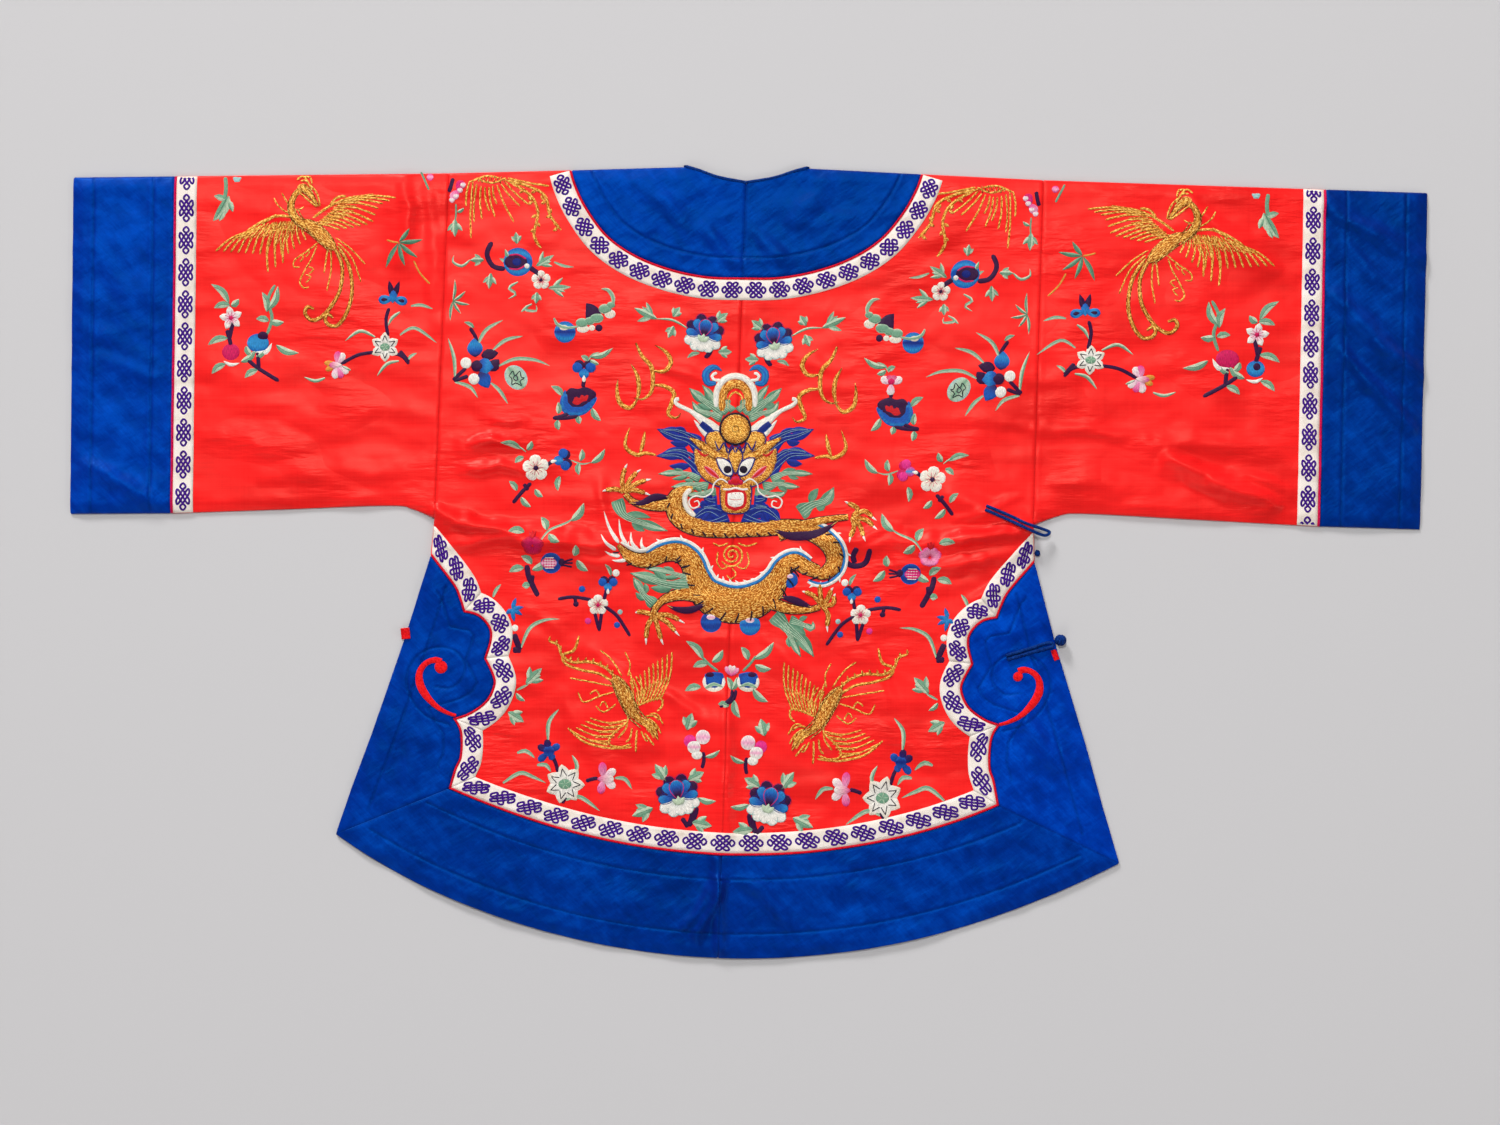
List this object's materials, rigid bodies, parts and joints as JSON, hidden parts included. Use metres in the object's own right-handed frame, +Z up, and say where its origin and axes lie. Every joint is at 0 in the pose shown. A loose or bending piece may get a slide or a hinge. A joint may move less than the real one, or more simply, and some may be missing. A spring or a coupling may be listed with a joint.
{
  "type": "embroidered silk jacket laid flat",
  "caption": "Hip-length T-cut silk jacket laid flat with its back up: wide straight sleeves, flared skirt, lobed blue borders, woven ribbon trim and a side fastening of cord loops and ball knots",
  "frame": {"origin": "centre of the jacket's outline, on the floor under it", "axes": "+X the wearer's right, from cuff to cuff; +Y from the hem to the neck; +Z up from the floor, out of the jacket's back"},
  "size_m": [1.2968, 0.7582, 0.0129],
  "materials": {
    "satin": "red silk satin with a soft sheen and fine lines of warp and weft",
    "blue_silk": "blue plain-woven silk, half matte, with slubs and creases",
    "woven_ribbon": "ivory woven ribbon with violet endless knots, matte",
    "piping": "rolled red silk, half matte",
    "binding": "rolled dark blue silk cord, half matte",
    "red_cord": "red silk cord and thread, half matte"
  },
  "bodies": {
    "root": {"body_left": "satin", "body_right": "satin", "front_lapel": "satin", "underlap": "satin", "sleeve_left": "satin", "sleeve_right": "satin", "yoke_left": "blue_silk", "yoke_right": "blue_silk", "cuff_left": "blue_silk", "cuff_right": "blue_silk", "side_left": "blue_silk", "side_right": "blue_silk", "hem_left": "blue_silk", "hem_right": "blue_silk", "front_side_left": "blue_silk", "front_side_right": "blue_silk", "front_hem_left": "blue_silk", "front_hem_right": "blue_silk", "neck_ribbon": "woven_ribbon", "cuff_ribbon_left": "woven_ribbon", "cuff_ribbon_right": "woven_ribbon", "side_ribbon_left": "woven_ribbon", "side_ribbon_right": "woven_ribbon", "hem_ribbon": "woven_ribbon", "neck_piping": "piping", "cuff_piping_left": "piping", "cuff_piping_right": "piping", "side_piping_left": "piping", "side_piping_right": "piping", "hem_piping": "piping", "neck_binding": "binding", "curl_left": "red_cord", "curl_right": "red_cord", "bartack_left": "red_cord", "bartack_right": "red_cord", "loop_top": "binding", "loop_side": "binding", "button_top": "binding", "button_side": "binding"}
  },
  "joints": []
}
